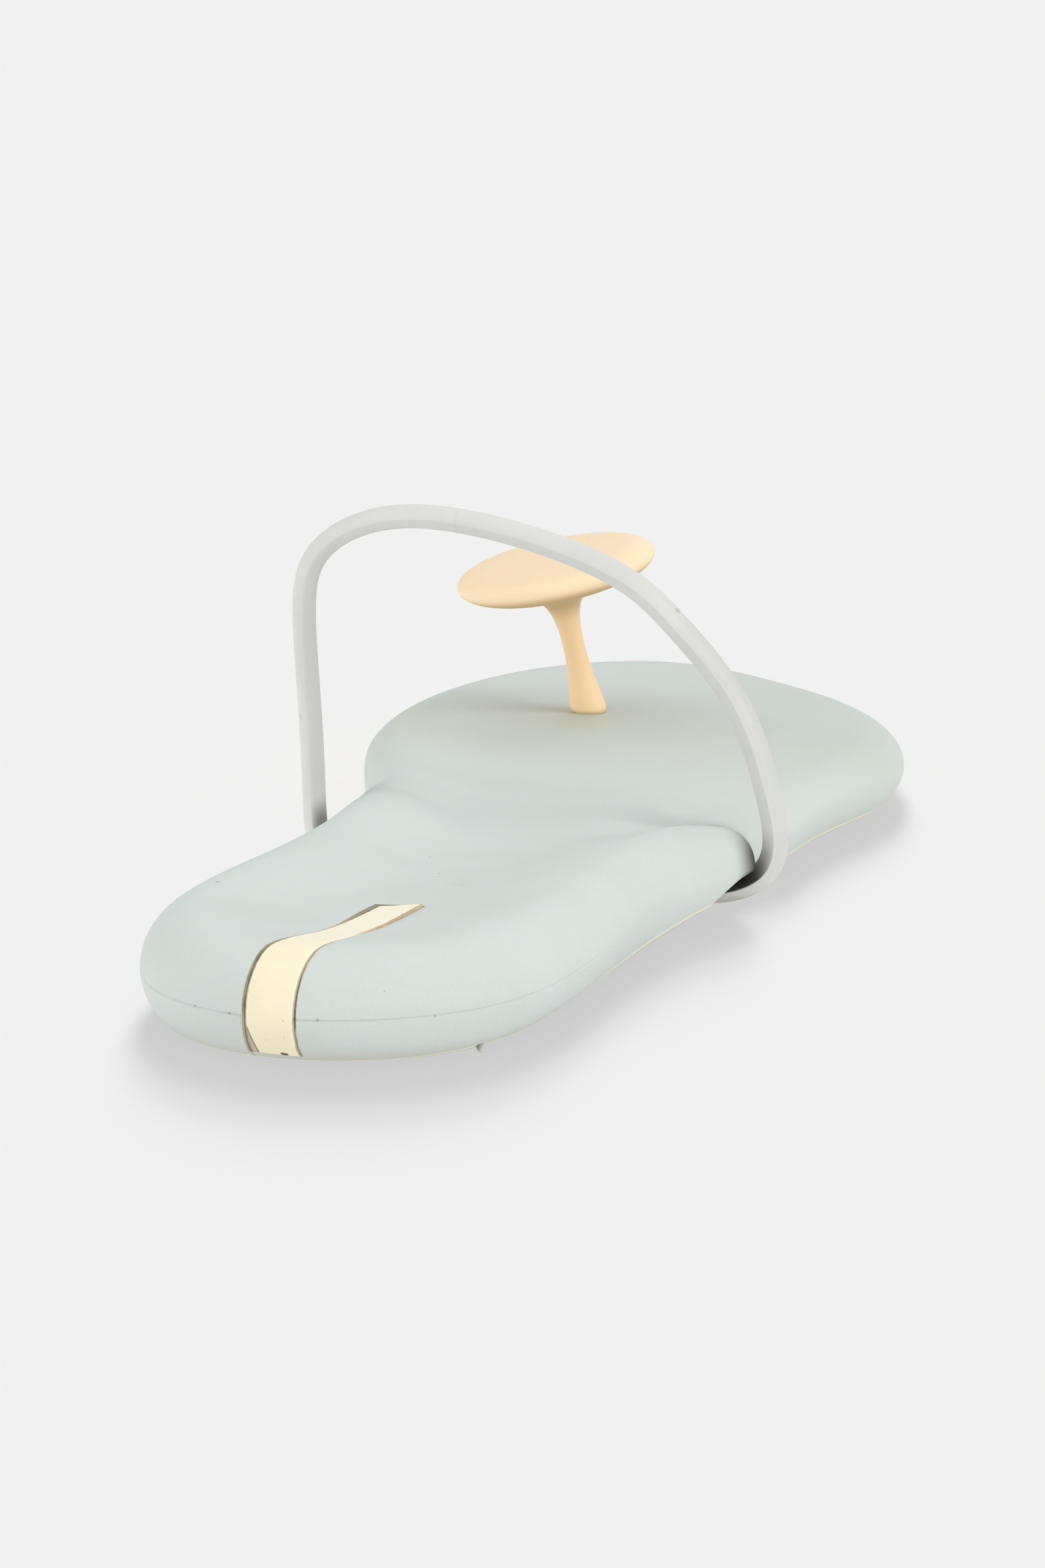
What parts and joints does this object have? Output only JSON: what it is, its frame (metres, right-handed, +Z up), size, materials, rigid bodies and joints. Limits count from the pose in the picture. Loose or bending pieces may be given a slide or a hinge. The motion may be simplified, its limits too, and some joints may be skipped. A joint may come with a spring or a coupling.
{
  "type": "toe-post sandal",
  "caption": "Flat right-foot sandal: a moulded sole with a dished heel, a ring strap over and under the waist, a mushroom-shaped toe post and a tape inlaid over the back of the heel.",
  "frame": {"origin": "on the floor, under the middle of the sole's length and width", "axes": "+Y towards the toe, +Z up, +X towards the outer side of the foot"},
  "size_m": [0.0988, 0.2602, 0.0643],
  "materials": {
    "sole": "pale grey-blue, matte and fine-grained",
    "strap": "off-white, smooth, satin",
    "toe_post": "peach, smooth, satin",
    "heel_tape": "cream, slightly yellowed, soiled along both edges"
  },
  "bodies": {
    "root": {"sole": "sole", "strap": "strap", "toe_post": "toe_post", "heel_tape": "heel_tape"}
  },
  "joints": []
}
